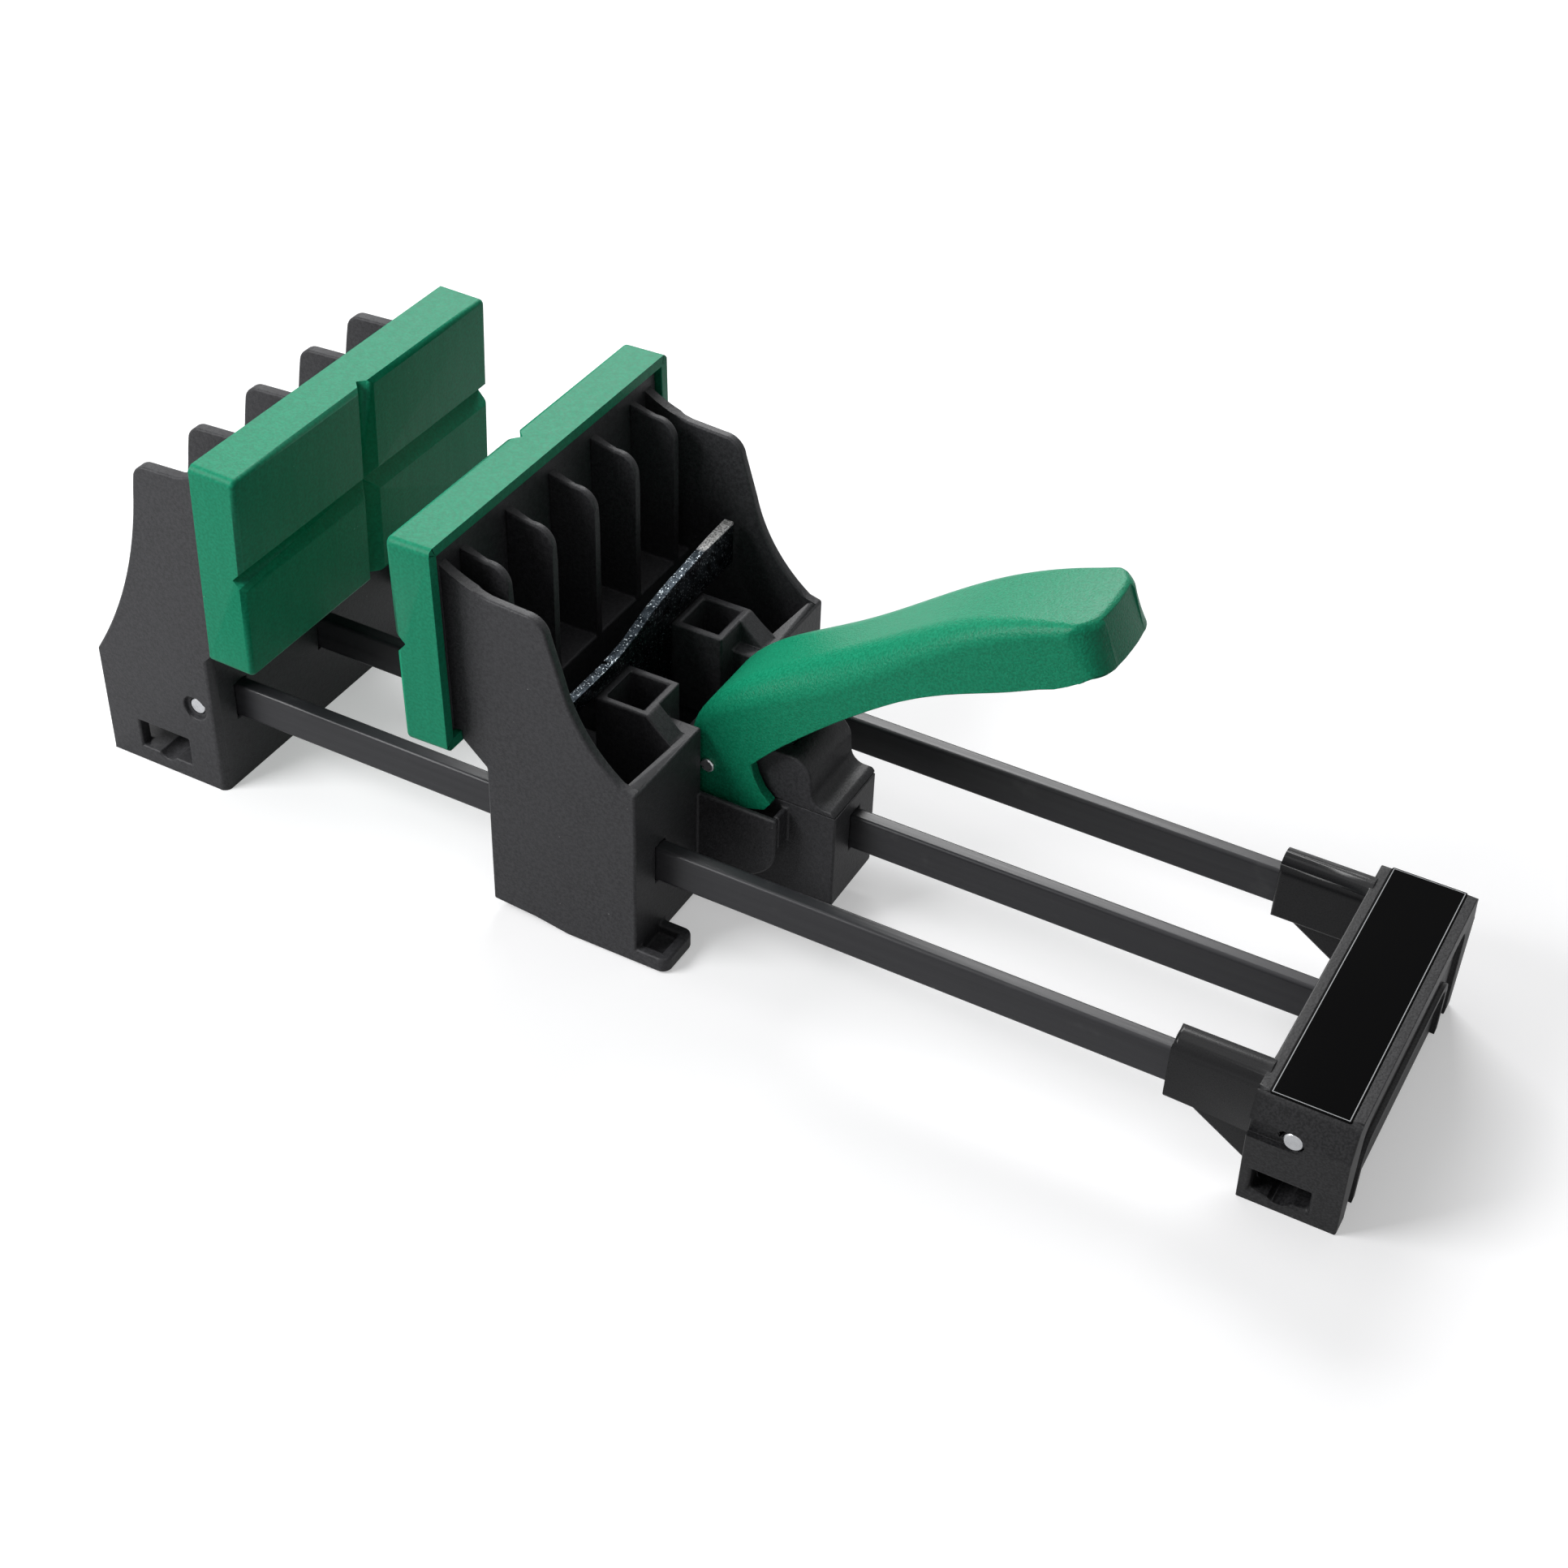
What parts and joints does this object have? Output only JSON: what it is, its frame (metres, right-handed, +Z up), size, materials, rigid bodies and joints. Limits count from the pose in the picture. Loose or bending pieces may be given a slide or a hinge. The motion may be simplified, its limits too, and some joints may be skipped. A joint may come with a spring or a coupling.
{
  "type": "quick-release vise",
  "caption": "Quick-release bench vise: fixed jaw and tail block on three bars, sliding jaw with pump handle and release lever.",
  "frame": {"origin": "middle of the overall box, on the surface the vise stands on", "axes": "+X along the bars from the fixed jaw to the tail block, +Y across the vise to its left, +Z up"},
  "size_m": [0.395, 0.12, 0.1314],
  "materials": {
    "body_plastic": "fine spark-eroded grain, glass-filled nylon",
    "pad_plastic": "soft satin moulding",
    "handle_plastic": "satin moulding with a fine fleck",
    "bar_steel": "black oxide, satin, drawn lines along the bar",
    "pin_steel": "bright turned ends",
    "zinc_plate": "zinc plated, sheared edge",
    "spring_steel": "oiled spring wire",
    "label_gloss": "gloss black, bare"
  },
  "bodies": {
    "frame": {"fixed_jaw": "body_plastic", "fixed_jaw_pad": "pad_plastic", "guide_bar_right": "bar_steel", "guide_bar_left": "bar_steel", "drive_bar": "bar_steel", "front_cross_pin": "pin_steel", "tail_cross_pin": "pin_steel", "tail_block": "body_plastic", "tail_plate": "label_gloss"},
    "sliding_jaw": {"carriage": "body_plastic", "moving_jaw_pad": "pad_plastic", "drive_housing": "body_plastic", "housing_cover": "body_plastic", "drive_spring": "spring_steel", "release_spring": "spring_steel", "handle_pivot_pin": "pin_steel", "pivot_clip": "pin_steel"},
    "pump_handle": {"handle": "handle_plastic"},
    "grip_plates": {"grip_plate_front": "spring_steel", "grip_plate_rear": "spring_steel"},
    "release_lever": {"release_plate": "zinc_plate"}
  },
  "joints": [
    {"name": "jaw_slide", "type": "slide", "parent": "frame", "child": "sliding_jaw", "axis": [1, 0, 0], "range_m": [-0.0492, 0.1375]},
    {"name": "handle_pivot", "type": "hinge", "parent": "sliding_jaw", "child": "pump_handle", "pos_m": [-0.0063, 0, 0.0476], "axis": [0, 1, 0], "range_deg": [0, 25], "stiffness_Nm_per_rad": 0.8, "springref_deg": -8.59},
    {"name": "grip_slide", "type": "slide", "parent": "sliding_jaw", "child": "grip_plates", "axis": [1, 0, 0], "range_m": [0, 0.0031], "deforming": ["drive_spring"]},
    {"name": "release_pivot", "type": "hinge", "parent": "sliding_jaw", "child": "release_lever", "pos_m": [-0.0358, 0, 0.0155], "axis": [0, -1, 0], "range_deg": [0, 5], "stiffness_Nm_per_rad": 1.5, "springref_deg": -5.73, "deforming": ["release_spring"]}
  ],
  "couplings": [
    {"joint": "grip_slide", "follows": "handle_pivot", "m_per_rad": 0.007}
  ]
}
